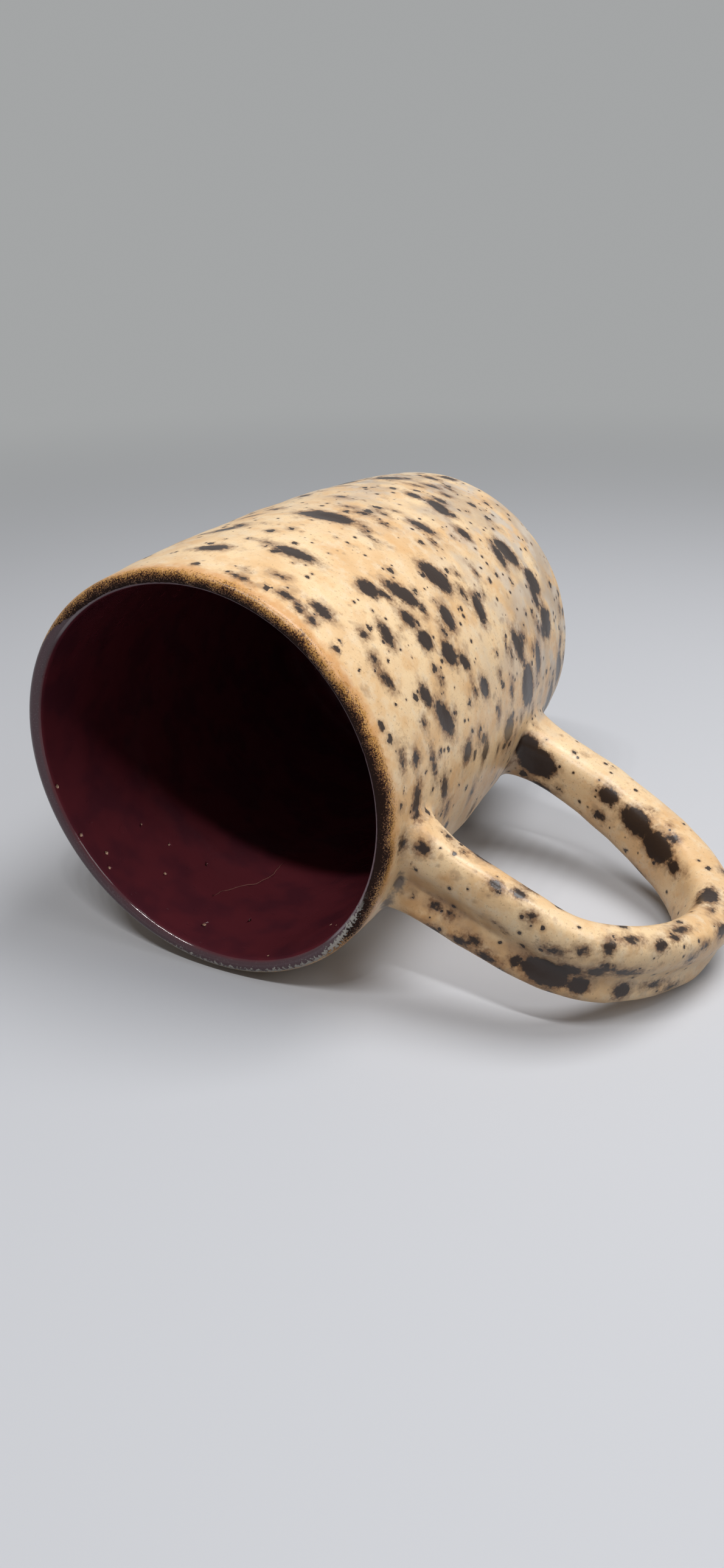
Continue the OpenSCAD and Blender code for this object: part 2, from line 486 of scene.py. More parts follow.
seamPoints = smoothJoint(mug.data)
while len(mug.data.materials) > 1:
    mug.data.materials.pop()
bpy.data.materials.remove(strapClay)
combine(mug, newObject("crackTool", *makeCrack(), splitGlaze), "DIFFERENCE")
pitPoints, pitFaces = [], []
for points, faces in makePits():
    base = sum(len(p) for p in pitPoints)
    pitPoints.append(points)
    pitFaces += [tuple(base + i for i in f) for f in faces]
combine(mug, newObject("pitTool", np.vstack(pitPoints), pitFaces, brokenClay), "DIFFERENCE")
print("crack, chip and pinholes cut:", [m.name for m in mug.data.materials])


# where each glaze lies, written on the vertices

marks = {
    # iron marks on the wall: angle from the handle, depth, size round the wall, size along it
    "cup": [(69, 45, 7.4, 5.2), (76, 24, 4.1, 4), (70, 31, 7, 3.8), (78, 9, 3.9, 2.8), (86, 6, 2.5, 1.7),
            (77, 5, 1.8, 1.7), (81, 5, 1.5, 1.6), (67, 13, 1.7, 2), (64, 18.5, 4.4, 2.8),
            (64, 27, 3.4, 3.2), (58, 39, 4.8, 3.8), (55, 52, 5.8, 3.4), (60, 11, 2.2, 1.8),
            (55, 11, 3.6, 2.2), (57, 28, 3.5, 4.2), (50, 33, 4.3, 4.2), (46, 37, 3.2, 2.4),
            (45, 20, 4.2, 3.2), (37, 24, 7.5, 4.2), (36, 42, 4, 3.6), (35, 7, 3.5, 1.7), (22, 10, 5.7, 2.6),
            (33, 11, 2.9, 2.2), (29, 17, 5, 1.7), (19, 21, 4.4, 2.6), (13, 5, 2.4, 1.7), (37, 84, 6, 5),
            (25, 66, 8, 7), (23, 31, 3.8, 3), (18, 40, 3.3, 3.2), (17, 54, 5.5, 5), (104, 42, 10, 5.4),
            (96, 20, 7, 3.6), (88, 73, 6, 4.4), (114, 13, 5, 3), (64, 80, 7, 5), (51, 84, 6, 5),
            (98, 4, 2.5, 1.5), (84, 58, 5, 3)],
    # and on the strap: length along it, angle round it, size along it, size across it
    "strap": [(3, 45, 2.2, 1.9), (9, 354, 1.5, 1.2), (12, 354, 1.3, 1.2), (17, 68, 2, 1.6),
              (21, 84, 2, 1.7), (11, 309, 2, 1.2), (16, 326, 2.2, 1.3), (18, 343, 2, 1.3),
              (21, 326, 2.6, 1.6), (26, 349, 1.9, 1.7), (31, 354, 7.6, 4.6), (34, 2, 3.6, 2.8),
              (37, 352, 3.2, 3.1), (45, 349, 2.9, 2.8), (43, 11, 4.4, 1.6), (38, 6, 2.8, 2.2),
              (39, 17, 2.8, 1.5), (30, 17, 3, 1.4), (34, 34, 1.6, 1.4), (38, 56, 1.7, 2.4),
              (42, 84, 2.8, 1.2), (48, 68, 2.2, 1.8), (52, 84, 1.7, 1.3), (55, 92, 3.2, 1.3),
              (52, 354, 2.6, 1), (57, 338, 2.6, 1), (134, 180, 8, 5.6), (138, 168, 5, 4.4),
              (115, 158, 4, 3), (106, 163, 7, 4.4), (98, 169, 7, 4.8), (91, 169, 3, 2.2),
              (74, 124, 3.6, 2.6)],
    "moreOnCup": 330,
    "moreOnStrap": 60,
    # orange patches on the strap: length along it, angle round it, size
    "rust": [(9, 22, 1.5), (14, 335, 1.2), (23, 318, 1.4)],
    "longer": 1.12,        # what the marks on the wall gain in length
    "larger": 1.15,        # and what those on the strap gain both ways
    "seed": 5,
}

# stretches of the lip: from one angle to another, and the fade over both ends
lipBands = {
    "upperHalf": (-12, 150, 22),
    "lowerRight": (-78, -12, 12),
    "leftSide": (165, 262, 20),
    "rightSide": (-12, 46, 24),
}


def markList(total):
    # every mark as (middle, direction, length, width, how faint it is: 0 dark to 1 a brown film)
    rnd = random.Random(marks["seed"])
    found = []

    def onCup(around, depth, size, width, faint=0.0):
        a = math.radians(around + rnd.uniform(-0.3, 0.3))
        r = outerRadius(depth)
        lean = rnd.uniform(-0.5, 0.5)
        way = np.array([-math.sin(a) * math.cos(lean), math.cos(a) * math.cos(lean), math.sin(lean)])
        place = np.array([r * math.cos(a), r * math.sin(a), cup["height"] - depth])
        found.append((place, way, size * marks["longer"], width, faint))

    def onStrap(length, angle, size, width, faint=0.0):
        place = strapPoint(length, math.radians(angle), total)
        found.append((place, strapFrame(length)[1], size * marks["larger"], width * marks["larger"], faint))

    for mark in marks["cup"]:
        onCup(*mark)
    for mark in marks["strap"]:
        onStrap(*mark)
    for n in range(marks["moreOnCup"]):
        around = rnd.uniform(0, 360)
        depth = 4 + 98 * rnd.random() ** 0.75
        grow = 0.9 + 4.6 * (0.25 + 0.75 * depth / 105) * rnd.random() ** 3
        if 5 < around < 112 and depth < 62:
            grow = min(grow, 1.5)
        onCup(around, depth, grow * rnd.uniform(1.1, 2.0), grow, max(0, rnd.uniform(-0.9, 1.1)))
    for n in range(marks["moreOnStrap"]):
        length, angle = rnd.uniform(5, total - 5), rnd.uniform(0, 360)
        grow = 0.8 + 3.2 * rnd.random() ** 3
        if length < 62 and not 100 < angle < 290:
            grow = min(grow, 1.2)
        onStrap(length, angle, grow * rnd.uniform(1.1, 1.9), grow, max(0, rnd.uniform(-0.9, 0.9)))
    return found


def angleBand(around, low, high, fade):
    # 1 between two angles, in degrees, fading over both ends
    middle, half = (low + high) / 2, (high - low) / 2
    off = np.abs((around - middle + 180) % 360 - 180)
    return 1 - ease(off, half, half + fade)


def writeFields(mesh):
    count = len(mesh.vertices)
    co = np.zeros(count * 3)
    mesh.vertices.foreach_get("co", co)
    co = co.reshape(-1, 3)
    radius = np.hypot(co[:, 0], co[:, 1])
    around = np.arctan2(co[:, 1], co[:, 0])
    degrees = np.degrees(around)
    depth = cup["height"] - co[:, 2]
    lip = cup["lipWidth"] / 2
    wallMiddle = outerRadius(np.clip(depth, 0, 200)) - wallThickness(depth) / 2 + outOfRound(around, depth)
    outside = (radius > wallMiddle) | (co[:, 2] < cup["floor"] * 0.55)
    # distance from the crest of the lip: positive down the outside, negative down the inside
    quarter = lip * math.pi / 2
    overLip = np.arctan2(radius - wallMiddle, np.maximum(lip - depth, 0) + 1e-6) * lip
    lipWay = np.where(depth < lip, overLip, np.where(outside, depth - lip + quarter, lip - depth - quarter))

    total = strapLength()
    stops = np.linspace(0, total, 280)
    frames = [strapFrame(t) for t in stops]
    middles = np.array([f[0] for f in frames])
    outwards = np.array([f[2] for f in frames])
    strapBit = (radius > outerRadius(np.clip(depth, 0, 105)) + 1.6) & (co[:, 0] > 30)
    lengthAt, outAt = np.zeros(count), np.zeros(count)
    where = np.where(strapBit)[0]
    gap = ((co[where, None, :][:, :, [0, 2]] - middles[None][:, :, [0, 2]]) ** 2).sum(-1)
    nearest = gap.argmin(1)
    lengthAt[where] = stops[nearest]
    outAt[where] = ((co[where] - middles[nearest]) * outwards[nearest]).sum(-1)

    field = np.full(count, 30.0)
    for middle, way, size, width, faint in markList(total):
        close = np.where(np.abs(co - middle).max(1) < max(size, width) + 4)[0]
        off = co[close] - middle
        run = off @ way
        across = np.sqrt(np.maximum((off ** 2).sum(1) - run ** 2, 0))
        away = (np.hypot(run / (size / 2), across / (width / 2)) - 1) * min(size, width) / 2
        field[close] = np.minimum(field[close], np.maximum(away, -1.2) + faint)

    near = np.full(count, 30.0)
    tree = kdtree.KDTree(len(seamPoints))
    for n, p in enumerate(seamPoints):
        tree.insert(p, n)
    tree.balance()
    for i in np.where(outside & (radius < 52) & (co[:, 0] > 25) & (np.abs(co[:, 1]) < 22))[0]:
        near[i] = tree.find(co[i])[2]

    upperHalf, lowerRight, leftSide, rightSide = [angleBand(degrees, *ends) for ends in lipBands.values()]
    # thin glaze breaks to orange along the strap's lower ridge and its edges near the lip
    ridge = np.exp(-((co[:, 1] + 4.6) / 2.4) ** 2) * (outAt > 1)
    ridge = ridge * ease(lengthAt, 2, 7) * (1 - ease(lengthAt, 26, 42))
    for length, angle, size in marks["rust"]:
        off = np.linalg.norm(co - strapPoint(length, math.radians(angle), total), axis=1)
        ridge = np.maximum(ridge, np.exp(-(off / size) ** 2))
    # painted shade: a mask for the strap's groove, which is darkened to brown where shade falls in it
    paintedGrooveShade = np.exp(-((co[:, 1] - handle["grooveAt"]) / handle["grooveWidth"]) ** 2) * (outAt > 0)
    paintedGrooveShade = paintedGrooveShade * strapBit * (1 - ease(lengthAt, 22, 50))
    fields = {
        "lipWay": lipWay,
        "paintedGrooveShade": paintedGrooveShade,
        "linerEdge": 0.5 - 1.45 * upperHalf + 0.45 * lowerRight + 1.0 * leftSide + 0.2 * rightSide,
        "fringeEdge": -0.9 + 0.95 * upperHalf + 1.0 * rightSide,
        "burn": 0.35 + 0.65 * upperHalf,
        "crust": lowerRight,
        "ironField": field,
        "stain": np.where(strapBit, 0.62, 0.5 + 0.5 * ease(depth, 4, 60)),
        "milky": ease(depth, 30, 90) * np.where(strapBit, 0.2, 1) * outside,
        "seam": near + 2.2 - 2.3 * (1 - ease(co[:, 1], -1, 6)) * (1 - ease(depth, 9, 13)),
        "thin": ridge,
        "bare": ease(depth, cup["height"] - 2.4, cup["height"] - 0.8) * outside * ease(radius, 23.6, 24.6),
    }
    for name, values in fields.items():
        layer = mesh.attributes.new(name, "FLOAT", "POINT")
        layer.data.foreach_set("value", np.asarray(values, np.float32))


writeFields(mug.data)
print("glaze fields written")


def layDown(mesh):
    # rolls the mug about its axis until the handle comes as low as the wall does
    count = len(mesh.vertices)
    co = np.zeros(count * 3)
    mesh.vertices.foreach_get("co", co)
    co = co.reshape(-1, 3)
    belly = np.hypot(co[:, 0], co[:, 1])[co[:, 0] < 0].max()
    bend = co[co[:, 0] > 60]      # only the handle reaches this far
    lowTurn, highTurn = 0.0, 60.0
    for n in range(30):
        turn = math.radians((lowTurn + highTurn) / 2)
        if (-bend[:, 0] * math.sin(turn) + bend[:, 1] * math.cos(turn)).min() > -belly:
            lowTurn = math.degrees(turn)
        else:
            highTurn = math.degrees(turn)
    c, s = math.cos(turn), math.sin(turn)
    x = co[:, 0] * c + co[:, 1] * s
    z = -co[:, 0] * s + co[:, 1] * c
    middleX = cadBox[0][0] * 1000 + cup["widest"]
    laid = np.stack([x + middleX, cup["height"] / 2 - co[:, 2], z - z.min()], 1) / 1000
    mesh.vertices.foreach_set("co", laid.ravel())
    mesh.update()
    print("laid down at", round(math.degrees(turn), 2), "degrees, axis at", round(middleX, 2))


layDown(mug.data)
for face in mug.data.polygons:
    face.use_smooth = True
mug.name = "mugGlazed"
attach(mug, "root")
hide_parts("mug")
print("mug shaped:", len(mug.data.vertices), "points")


# glaze and clay

def startGroup(name, inputs, outputs):
    group = bpy.data.node_groups.new(name, "ShaderNodeTree")
    for label, kind, value in inputs:
        socket = group.interface.new_socket(name=label, in_out="INPUT", socket_type="NodeSocket" + kind)
        if kind == "Float":
            socket.default_value = value
    for label, kind in outputs:
        group.interface.new_socket(name=label, in_out="OUTPUT", socket_type="NodeSocket" + kind)
    return group, group.nodes.new("NodeGroupInput"), group.nodes.new("NodeGroupOutput")


def put(tree, kind, settings=None, **inputs):
    # adds a node; an input given as a socket is linked, and any other value is typed in
    made = tree.nodes.new(kind)
    for key, value in (settings or {}).items():
        setattr(made, key, value)
    for key, value in inputs.items():
        socket = made.inputs[int(key[1:])] if key[0] == "i" and key[1:].isdigit() else made.inputs[key]
        if isinstance(value, bpy.types.NodeSocket):
            tree.links.new(value, socket)
        else:
            socket.default_value = value
    return made


def calc(tree, operation, a, b=0.0):
    return put(tree, "ShaderNodeMath", {"operation": operation}, i0=a, i1=b).outputs[0]


def times(tree, a, b):
    return calc(tree, "MULTIPLY", a, b)


def ramp(tree, value, low, high):
    # 0 at the low value and 1 at the high one, which may also be the lesser of the two
    made = put(tree, "ShaderNodeMapRange", {"interpolation_type": "SMOOTHSTEP"}, Value=value, i1=low, i2=high)
    return made.outputs["Result"]


def blend(tree, share, a, b):
    made = put(tree, "ShaderNodeMix", {"data_type": "RGBA", "clamp_factor": True}, i0=share)
    for socket, value in ((made.inputs[6], a), (made.inputs[7], b)):
        if isinstance(value, bpy.types.NodeSocket):
            tree.links.new(value, socket)
        else:
            socket.default_value = (*value, 1)
    return made.outputs[2]


def blendNumber(tree, share, a, b):
    made = put(tree, "ShaderNodeMix", {"data_type": "FLOAT", "clamp_factor": True}, i0=share, i2=a, i3=b)
    return made.outputs[0]


def lay(tree, mask, strength, under, over):
    # one colour over another where the mask is 1, at a strength
    return blend(tree, times(tree, mask, strength), under, over)


def grain(tree, vector, size, detail=2.0, roughness=0.5):
    return put(tree, "ShaderNodeTexNoise", None, Vector=vector, Scale=1 / size, Detail=detail,
               Roughness=roughness).outputs["Fac"]


def field(tree, name):
    return put(tree, "ShaderNodeAttribute", {"attribute_name": name}).outputs["Fac"]


def millimetres(tree):
    spot = put(tree, "ShaderNodeTexCoord").outputs["Object"]
    scaled = put(tree, "ShaderNodeVectorMath", {"operation": "SCALE"}, i0=spot)
    scaled.inputs["Scale"].default_value = 1000
    return scaled.outputs[0]


# iron specks: one at most in each cell, of mixed sizes, with ragged outlines and a soft stain round them
ironSpecks, given, result = startGroup(
    "ironSpecks",
    [("Vector", "Vector", 0), ("Cell", "Float", 3.0), ("Amount", "Float", 0.5), ("Size", "Float", 0.3),
     ("Ragged", "Float", 0.4)],
    [("Dark", "Float"), ("Stain", "Float")])
spread = put(ironSpecks, "ShaderNodeTexNoise", None, Vector=given.outputs["Vector"], Scale=0.9, Detail=2.0)
shift = put(ironSpecks, "ShaderNodeVectorMath", {"operation": "SUBTRACT"},
            i0=spread.outputs["Color"], i1=(0.5, 0.5, 0.5))
shift = put(ironSpecks, "ShaderNodeVectorMath", {"operation": "SCALE"}, i0=shift.outputs[0])
shiftSize = times(ironSpecks, given.outputs["Ragged"], given.outputs["Cell"])
ironSpecks.links.new(shiftSize, shift.inputs["Scale"])
moved = put(ironSpecks, "ShaderNodeVectorMath", {"operation": "ADD"},
            i0=given.outputs["Vector"], i1=shift.outputs[0])
cells = put(ironSpecks, "ShaderNodeTexVoronoi", None, Vector=moved.outputs[0],
            Scale=calc(ironSpecks, "DIVIDE", 1.0, given.outputs["Cell"]))
parts = put(ironSpecks, "ShaderNodeSeparateColor", None, Color=cells.outputs["Color"])
present = calc(ironSpecks, "LESS_THAN", parts.outputs[0], given.outputs["Amount"])
grown = calc(ironSpecks, "ADD", times(ironSpecks, parts.outputs[1], 0.85), 0.3)
reach = times(ironSpecks, given.outputs["Size"], grown)
away = calc(ironSpecks, "DIVIDE", cells.outputs["Distance"], reach)
dark = times(ironSpecks, ramp(ironSpecks, away, 1.0, 0.75), present)
stain = times(ironSpecks, ramp(ironSpecks, away, 2.0, 0.8), present)
ironSpecks.links.new(dark, result.inputs["Dark"])
ironSpecks.links.new(stain, result.inputs["Stain"])

# 1 where a field is under an edge value, with the edge broken up by noise
raggedEdge, given, result = startGroup(
    "raggedEdge",
    [("Vector", "Vector", 0), ("Field", "Float", 0), ("Edge", "Float", 0), ("Soft", "Float", 0.2),
     ("Ragged", "Float", 0.5), ("Size", "Float", 1.0)],
    [("Mask", "Float")])
rough = put(raggedEdge, "ShaderNodeTexNoise", None, Vector=given.outputs["Vector"], Detail=3.0, Roughness=0.6,
            Scale=calc(raggedEdge, "DIVIDE", 1.0, given.outputs["Size"]))
rough = calc(raggedEdge, "SUBTRACT", rough.outputs["Fac"], 0.5)
rough = times(raggedEdge, rough, times(raggedEdge, given.outputs["Ragged"], 4.0))
broken = calc(raggedEdge, "ADD", given.outputs["Field"], rough)
inside = calc(raggedEdge, "SUBTRACT", given.outputs["Edge"], broken)
negative = times(raggedEdge, given.outputs["Soft"], -1.0)
raggedEdge.links.new(ramp(raggedEdge, inside, negative, given.outputs["Soft"]), result.inputs["Mask"])

# the skin of a fired surface: slow swells under a fine pebble
firedSkin, given, result = startGroup(
    "firedSkin",
    [("Vector", "Vector", 0), ("Swell", "Float", 0.05), ("Pebble", "Float", 0.01),
     ("PebbleSize", "Float", 0.8)],
    [("Height", "Float")])
swell = grain(firedSkin, given.outputs["Vector"], 4.0, 1.0)
pebble = put(firedSkin, "ShaderNodeTexNoise", None, Vector=given.outputs["Vector"], Detail=2.0,
             Scale=calc(firedSkin, "DIVIDE", 1.0, given.outputs["PebbleSize"])).outputs["Fac"]
height = calc(firedSkin, "ADD", times(firedSkin, swell, given.outputs["Swell"]),
              times(firedSkin, pebble, given.outputs["Pebble"]))
firedSkin.links.new(height, result.inputs["Height"])


def use(tree, group, **inputs):
    return put(tree, "ShaderNodeGroup", {"node_tree": group}, **inputs)


def ragged(tree, spot, over, edge, soft, rough, size):
    # a mask by the raggedEdge group: field, edge value, softness, raggedness and size of the breaks
    made = use(tree, raggedEdge, Vector=spot, Field=over, Edge=edge, Soft=soft, Ragged=rough, Size=size)
    return made.outputs[0]


glazeLook = {
    "cream": (0.90, 0.66, 0.39),
    "tan": (0.78, 0.50, 0.25),
    "pale": (0.86, 0.70, 0.49),
    "warm": (0.74, 0.42, 0.17),
    "milk": (0.60, 0.54, 0.47),
    "dun": (0.50, 0.37, 0.25),
    "orange": (0.60, 0.30, 0.10),
    "burnt": (0.66, 0.31, 0.10),
    "mustard": (0.52, 0.26, 0.06),
    "scorched": (0.13, 0.048, 0.015),
    "fringe": (0.022, 0.009, 0.006),
    "iron": (0.024, 0.015, 0.013),
    "ironStain": (0.30, 0.175, 0.10),
    "pool": (0.115, 0.110, 0.125),
    # painted shade: the brown laid into the strap's groove
    "paintedGrooveShade": (0.50, 0.28, 0.13),
    "lip": (0.088, 0.040, 0.050),
    "lipFleck": (0.18, 0.14, 0.15),
    # painted highlight: the pale line along the inside of the lip
    "paintedLipHighlight": (0.34, 0.27, 0.29),
    "liner": (0.140, 0.025, 0.034),
    "linerShade": (0.100, 0.021, 0.031),
    "crust": (0.50, 0.47, 0.43),
    "clay": (0.50, 0.38, 0.28),
}


def buildGlaze(material):
    look = glazeLook
    material.use_nodes = True
    tree = material.node_tree
    shader = tree.nodes["Principled BSDF"]
    spot = millimetres(tree)
    lipWay, iron = field(tree, "lipWay"), field(tree, "ironField")

    # the cream glaze, mottled where it lies thick or thin
    colour = blend(tree, ramp(tree, grain(tree, spot, 13, 3), 0.40, 0.66), look["cream"], look["tan"])
    mottle = ramp(tree, grain(tree, spot, 2.6, 3, 0.6), 0.46, 0.70)
    colour = lay(tree, mottle, 0.6, colour, look["pale"])
    streak = ramp(tree, grain(tree, spot, 4.2, 3, 0.65), 0.52, 0.70)
    colour = lay(tree, streak, 0.45, colour, look["tan"])
    freckle = ramp(tree, grain(tree, spot, 0.6, 2, 0.6), 0.58, 0.74)
    colour = lay(tree, freckle, 0.42, colour, look["ironStain"])
    dust = ramp(tree, grain(tree, spot, 0.24, 1), 0.50, 0.66)
    colour = lay(tree, dust, 0.30, colour, look["tan"])
    warm = times(tree, ramp(tree, grain(tree, spot, 5.5, 3, 0.6), 0.52, 0.68), 0.42)
    colour = blend(tree, warm, colour, look["warm"])
    milk = times(tree, ramp(tree, grain(tree, spot, 6, 3), 0.46, 0.62), field(tree, "milky"))
    colour = lay(tree, milk, 0.75, colour, look["milk"])
    dun = times(tree, ramp(tree, grain(tree, spot, 9, 3), 0.44, 0.66), field(tree, "milky"))
    colour = lay(tree, dun, 0.7, colour, look["dun"])
    thin = times(tree, field(tree, "thin"), ramp(tree, grain(tree, spot, 3.0, 3), 0.32, 0.6))
    colour = lay(tree, thin, 0.9, colour, look["orange"])

    # painted shade: the strap's groove darkened to brown, strongest near the rim-side joint and fading along
    # the strap
    paintedGrooveShade = times(tree, field(tree, "paintedGrooveShade"), ramp(tree, grain(tree, spot, 5.0, 2), 0.25, 0.6))
    colour = lay(tree, paintedGrooveShade, 0.75, colour, look["paintedGrooveShade"])

    # iron marks: a soft brown halo, a film that breaks up, and a dark core with ragged edges
    stainAmount = field(tree, "stain")
    halo = ragged(tree, spot, iron, 0.9, 1.0, 1.1, 2.0)
    colour = lay(tree, halo, 0.55, colour, look["ironStain"])
    film = ragged(tree, spot, iron, 0.35, 0.5, 0.9, 0.8)
    colour = lay(tree, film, 0.6, colour, look["scorched"])
    core = ragged(tree, spot, iron, 0.0, 0.28, 0.5, 1.0)
    small = use(tree, ironSpecks, Vector=spot, Cell=1.9, Size=0.24, Ragged=0.35,
                Amount=times(tree, stainAmount, 0.50)).outputs
    middling = use(tree, ironSpecks, Vector=spot, Cell=4.3, Size=0.25, Ragged=0.45,
                   Amount=times(tree, stainAmount, 0.85)).outputs
    soft = calc(tree, "MAXIMUM", small["Stain"], middling["Stain"])
    colour = lay(tree, soft, 0.55, colour, look["ironStain"])
    dark = calc(tree, "MAXIMUM", core, calc(tree, "MAXIMUM", small["Dark"], middling["Dark"]))
    colour = lay(tree, dark, 0.95, colour, look["iron"])

    # glaze pooled blue-grey where the strap meets the wall
    pool = ragged(tree, spot, field(tree, "seam"), 0.7, 0.8, 1.2, 2.5)
    colour = lay(tree, pool, 0.8, colour, look["pool"])

    # the scorched lip, going up: orange, mustard, scorched brown and a black fringe, then the liner
    # glaze, which comes out of the bowl and runs over the crest
    burnAmount = field(tree, "burn")
    glow = ragged(tree, spot, lipWay, 3.6, 1.6, 1.2, 1.5)
    colour = lay(tree, times(tree, glow, burnAmount), 0.7, colour, look["burnt"])
    wander = times(tree, calc(tree, "SUBTRACT", grain(tree, spot, 5.0, 2), 0.5), 4.0)
    fringeWay = calc(tree, "ADD", calc(tree, "SUBTRACT", lipWay, field(tree, "fringeEdge")), wander)
    mustard = ragged(tree, spot, fringeWay, 1.6, 0.7, 1.2, 0.6)
    colour = lay(tree, times(tree, mustard, burnAmount), 0.85, colour, look["mustard"])
    scorch = ragged(tree, spot, fringeWay, 0.75, 0.5, 2.2, 0.26)
    colour = blend(tree, times(tree, scorch, burnAmount), colour, look["scorched"])
    fringe = ragged(tree, spot, fringeWay, 0.0, 0.2, 1.9, 0.3)
    colour = blend(tree, fringe, colour, look["fringe"])
    linerEdge = field(tree, "linerEdge")
    liner = ragged(tree, spot, lipWay, linerEdge, 0.10, 0.16, 0.8)
    fleck = ramp(tree, grain(tree, spot, 0.3, 2, 0.6), 0.56, 0.74)
    lipColour = lay(tree, fleck, 0.5, look["lip"], look["lipFleck"])
    deep = ramp(tree, lipWay, -0.9, -1.5)
    shade = ramp(tree, grain(tree, spot, 9, 2), 0.4, 0.65)
    linerColour = blend(tree, shade, look["liner"], look["linerShade"])
    # painted highlight: a pale mauve line just inside the crest, on the upper half of the lip
    upper = times(tree, ramp(tree, lipWay, -1.7, -1.3), ramp(tree, lipWay, -0.7, -1.0))
    upper = times(tree, upper, ramp(tree, burnAmount, 0.5, 0.9))
    lipColour = blend(tree, upper, lipColour, look["paintedLipHighlight"])
    linerColour = blend(tree, calc(tree, "SUBTRACT", deep, upper), lipColour, linerColour)
    colour = blend(tree, liner, colour, linerColour)
    offset = calc(tree, "ABSOLUTE", calc(tree, "SUBTRACT", lipWay, linerEdge))
    crust = ragged(tree, spot, offset, 0.42, 0.14, 1.1, 0.7)
    crust = times(tree, crust, field(tree, "crust"))
    colour = lay(tree, crust, 0.9, colour, look["crust"])

    # the foot was wiped clean of glaze
    bare = ragged(tree, spot, times(tree, field(tree, "bare"), -1.0), -0.5, 0.2, 0.1, 2.0)
    colour = blend(tree, bare, colour, look["clay"])
    tree.links.new(colour, shader.inputs["Base Color"])

    shine = calc(tree, "ADD", 0.26, times(tree, grain(tree, spot, 2.0, 2), 0.16))
    shine = blendNumber(tree, dark, shine, 0.30)
    shine = blendNumber(tree, fringe, shine, 0.7)
    shine = blendNumber(tree, liner, shine, 0.12)
    shine = blendNumber(tree, crust, shine, 0.75)
    shine = blendNumber(tree, bare, shine, 0.85)
    tree.links.new(shine, shader.inputs["Roughness"])
    level = blendNumber(tree, fringe, 0.42, 0.12)
    level = blendNumber(tree, liner, level, 0.55)
    tree.links.new(level, shader.inputs["Specular IOR Level"])

    skin = use(tree, firedSkin, Vector=spot, Swell=0.12, Pebble=0.030, PebbleSize=0.7).outputs[0]
    linerSkin = use(tree, firedSkin, Vector=spot, Swell=0.04, Pebble=0.016, PebbleSize=1.0).outputs[0]
    height = blendNumber(tree, liner, skin, linerSkin)
    height = calc(tree, "ADD", height, times(tree, crust, 0.12))
    height = calc(tree, "SUBTRACT", height, times(tree, dark, 0.03))
    bump = put(tree, "ShaderNodeBump", None, Height=height, Distance=0.001)
    tree.links.new(bump.outputs[0], shader.inputs["Normal"])


def buildBrokenClay(material, dull, bright):
    material.use_nodes = True
    tree = material.node_tree
    shader = tree.nodes["Principled BSDF"]
    spot = millimetres(tree)
    specks = use(tree, ironSpecks, Vector=spot, Cell=0.8, Size=0.25, Amount=0.3, Ragged=0.3).outputs
    colour = blend(tree, grain(tree, spot, 0.6, 2), dull, bright)
    colour = lay(tree, specks["Dark"], 0.7, colour, (0.10, 0.06, 0.05))
    tree.links.new(colour, shader.inputs["Base Color"])
    shader.inputs["Roughness"].default_value = 0.8
    skin = use(tree, firedSkin, Vector=spot, Swell=0.02, Pebble=0.04, PebbleSize=0.25).outputs[0]
    bump = put(tree, "ShaderNodeBump", None, Height=skin, Distance=0.001)
    tree.links.new(bump.outputs[0], shader.inputs["Normal"])


buildGlaze(glaze)
buildBrokenClay(brokenClay, (0.50, 0.32, 0.22), (0.70, 0.50, 0.38))
buildBrokenClay(splitGlaze, (0.22, 0.085, 0.07), (0.36, 0.17, 0.13))     # the crack is stained by drinks
print("glazes mixed")


# floor and light

room = {
    "floorReach": 4,
    "cloth": (0.58, 0.59, 0.62),
    "clothBounce": (0.30, 0.30, 0.31),    # what it throws back onto the mug
    "backdrop": (0.37, 0.378, 0.38),
    "fadeFrom": 0.16,         # metres from the mug at which the cloth starts to fade into the backdrop
    "fadeTo": 0.75,
    "light": (0.84, 0.85, 0.88),
    "strength": 0.14,
}
side = room["floorReach"]
floorMesh = bpy.data.meshes.new("floor")
floorCorners = [(-side, -side, 0), (side, -side, 0), (side, side, 0), (-side, side, 0)]
floorMesh.from_pydata(floorCorners, [], [(0, 1, 2, 3)])
floor = bpy.data.objects.new("floor", floorMesh)
bpy.context.scene.collection.objects.link(floor)

floorPaint = bpy.data.materials.new("floorPaint")
floorPaint.use_nodes = True
floorTree = floorPaint.node_tree
cloth = floorTree.nodes["Principled BSDF"]
cloth.inputs["Roughness"].default_value = 0.9
here = put(floorTree, "ShaderNodeTexCoord").outputs["Object"]
distance = put(floorTree, "ShaderNodeVectorMath", {"operation": "LENGTH"}, i0=here).outputs["Value"]
fade = ramp(floorTree, distance, room["fadeFrom"], room["fadeTo"])
glow = put(floorTree, "ShaderNodeEmission", None, Color=(*room["backdrop"], 1), Strength=1.0).outputs[0]
rays = put(floorTree, "ShaderNodeLightPath").outputs
seen = calc(floorTree, "MAXIMUM", rays["Is Camera Ray"], rays["Is Glossy Ray"])
seen = calc(floorTree, "MAXIMUM", seen, rays["Is Transmission Ray"])
floorTree.links.new(blend(floorTree, seen, room["clothBounce"], room["cloth"]), cloth.inputs["Base Color"])
surface = put(floorTree, "ShaderNodeMixShader", None, i0=times(floorTree, fade, seen),
              i1=cloth.outputs[0], i2=glow).outputs[0]
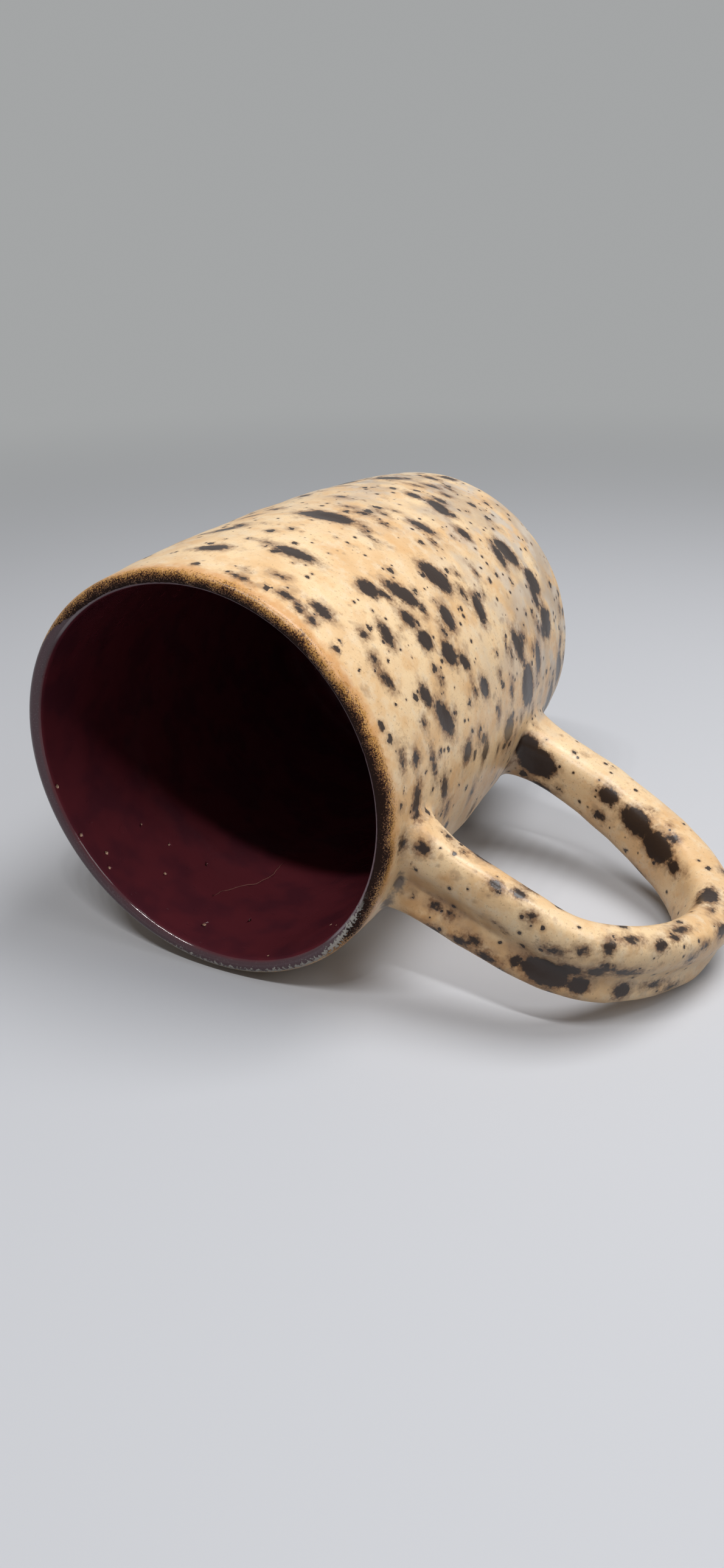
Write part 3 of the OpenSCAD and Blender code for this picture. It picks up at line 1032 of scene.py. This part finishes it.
floorTree.links.new(surface, floorTree.nodes["Material Output"].inputs["Surface"])
floorMesh.materials.append(floorPaint)

lamps = [
    {"name": "overhead", "place": (0.19, 0.10, 0.61), "size": 0.30, "power": 2.5},
    {"name": "side", "place": (0.45, -0.08, 0.42), "size": 0.28, "power": 0.60},
]
# a row of small lamps over the mouth, which the glossy lip shows as one long thin highlight
row = {
    "count": 7,
    "middle": (0.01, -0.41, 0.78),
    "way": (0.97, 0.06, -0.20),
    "length": 0.42,
    "size": 0.030,
    "power": 2.85,
}
lampAim = Vector((0, 0, 0.03))
for k in range(row["count"]):
    step = (k / (row["count"] - 1) - 0.5) * row["length"]
    place = tuple(m + w * step for m, w in zip(row["middle"], row["way"]))
    lamps.append({"name": "row", "place": place, "size": row["size"], "power": row["power"] / row["count"]})
for lamp in lamps:
    data = bpy.data.lights.new(lamp["name"], "AREA")
    data.size = lamp["size"]
    data.energy = lamp["power"]
    made = bpy.data.objects.new(lamp["name"], data)
    made.location = lamp["place"]
    aim = lampAim - Vector(lamp["place"])
    made.rotation_euler = aim.to_track_quat("-Z", "Y").to_euler()
    bpy.context.scene.collection.objects.link(made)

world = bpy.data.worlds.new("room")
bpy.context.scene.world = world
world.use_nodes = True
air = world.node_tree
dim = air.nodes["Background"]
dim.inputs["Color"].default_value = (*room["light"], 1)
dim.inputs["Strength"].default_value = room["strength"]
behind = put(air, "ShaderNodeBackground", None, Color=(*room["backdrop"], 1), Strength=1.0)
rays = put(air, "ShaderNodeLightPath").outputs
seen = calc(air, "MAXIMUM", rays["Is Camera Ray"], rays["Is Glossy Ray"])
seen = calc(air, "MAXIMUM", seen, rays["Is Transmission Ray"])
sky = put(air, "ShaderNodeMixShader", None, i0=seen, i1=dim.outputs[0], i2=behind.outputs[0])
air.links.new(sky.outputs[0], air.nodes["World Output"].inputs["Surface"])
bpy.context.scene.view_settings.view_transform = "Standard"
print("floor, lamps and room set")

print("triangles:", sum(len(f.vertices) - 2 for f in mug.data.polygons))
